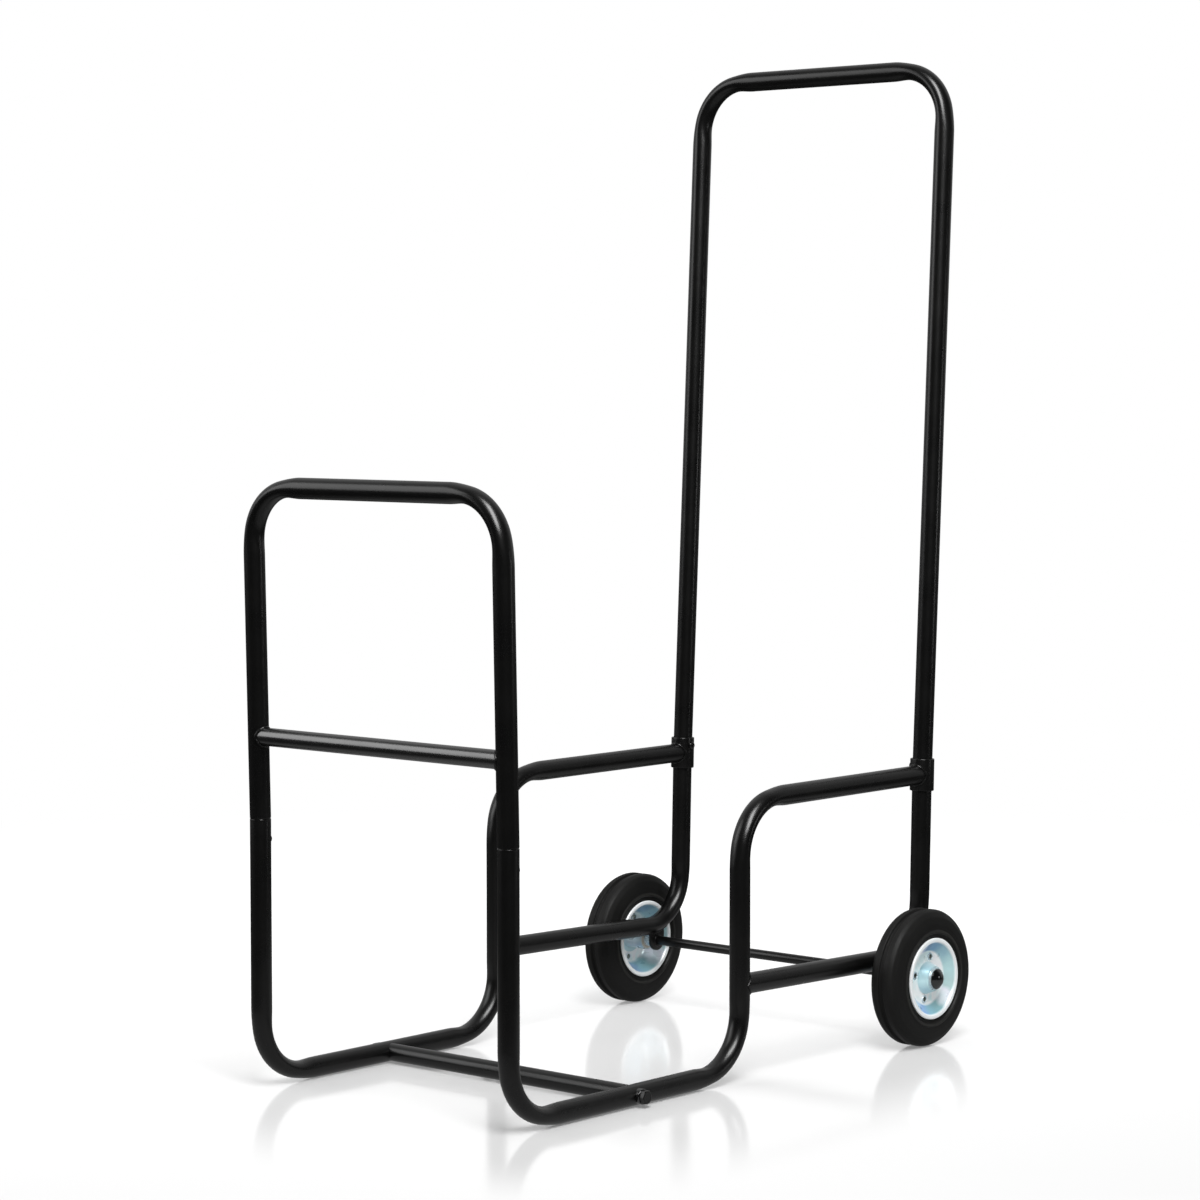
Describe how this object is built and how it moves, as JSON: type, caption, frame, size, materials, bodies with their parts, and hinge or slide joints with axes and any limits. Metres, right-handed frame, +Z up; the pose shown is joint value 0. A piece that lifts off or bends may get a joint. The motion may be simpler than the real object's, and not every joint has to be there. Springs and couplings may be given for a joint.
{
  "type": "log cart",
  "caption": "Wheeled log cart of bent black steel tube, with a low log bay in front, a raised log shelf over the axle and a tall inverted-U push handle.",
  "frame": {"origin": "on the floor, under the middle of the cart's length and width", "axes": "+X towards the wheels and the handle (the rear), +Y towards the cart's right-hand side, away from the picture's camera, +Z up; the mirror plane is Y = 0"},
  "size_m": [0.7564, 0.4722, 1.094],
  "materials": {
    "powder_coated_steel": "semi-gloss black powder coat with a fine orange peel, over steel tube and plate",
    "zinc_plated_steel": "bright blue-white zinc plate over pressed or drawn steel",
    "black_plastic": "moulded black plastic with a slight gloss",
    "black_rubber": "solid black rubber, matt, with a fine moulded grain",
    "nylon": "natural off-white nylon, matt"
  },
  "bodies": {
    "frame": {"side_rail_left": "powder_coated_steel", "side_rail_right": "powder_coated_steel", "rear_leg_left": "powder_coated_steel", "rear_leg_right": "powder_coated_steel", "post_collar_left": "powder_coated_steel", "post_collar_right": "powder_coated_steel", "front_hoop": "powder_coated_steel", "front_crossbar": "powder_coated_steel", "handle_hoop": "powder_coated_steel", "bottom_cross_tube": "powder_coated_steel", "cross_tube_inserts": "zinc_plated_steel", "cross_tube_bolts": "powder_coated_steel", "curved_washers": "black_plastic", "hoop_screws": "powder_coated_steel", "collar_screws": "powder_coated_steel", "axle_bracket_left": "powder_coated_steel", "axle_bracket_right": "powder_coated_steel", "axle": "powder_coated_steel", "axle_spacers": "zinc_plated_steel", "axle_washers": "zinc_plated_steel", "hub_cap_left": "black_plastic", "hub_cap_right": "black_plastic"},
    "wheel_left": {"tyre_left": "black_rubber", "rim_outer_left": "zinc_plated_steel", "rim_inner_left": "zinc_plated_steel", "hub_tube_left": "zinc_plated_steel", "hub_bushes_left": "nylon", "rim_rivets_left": "zinc_plated_steel"},
    "wheel_right": {"tyre_right": "black_rubber", "rim_outer_right": "zinc_plated_steel", "rim_inner_right": "zinc_plated_steel", "hub_tube_right": "zinc_plated_steel", "hub_bushes_right": "nylon", "rim_rivets_right": "zinc_plated_steel"}
  },
  "joints": [
    {"name": "wheel_left_spin", "type": "hinge", "parent": "frame", "child": "wheel_left", "pos_m": [0.28063, -0.208, 0.076], "axis": [0, 1, 0], "continuous": true},
    {"name": "wheel_right_spin", "type": "hinge", "parent": "frame", "child": "wheel_right", "pos_m": [0.28063, 0.208, 0.076], "axis": [0, 1, 0], "continuous": true}
  ]
}
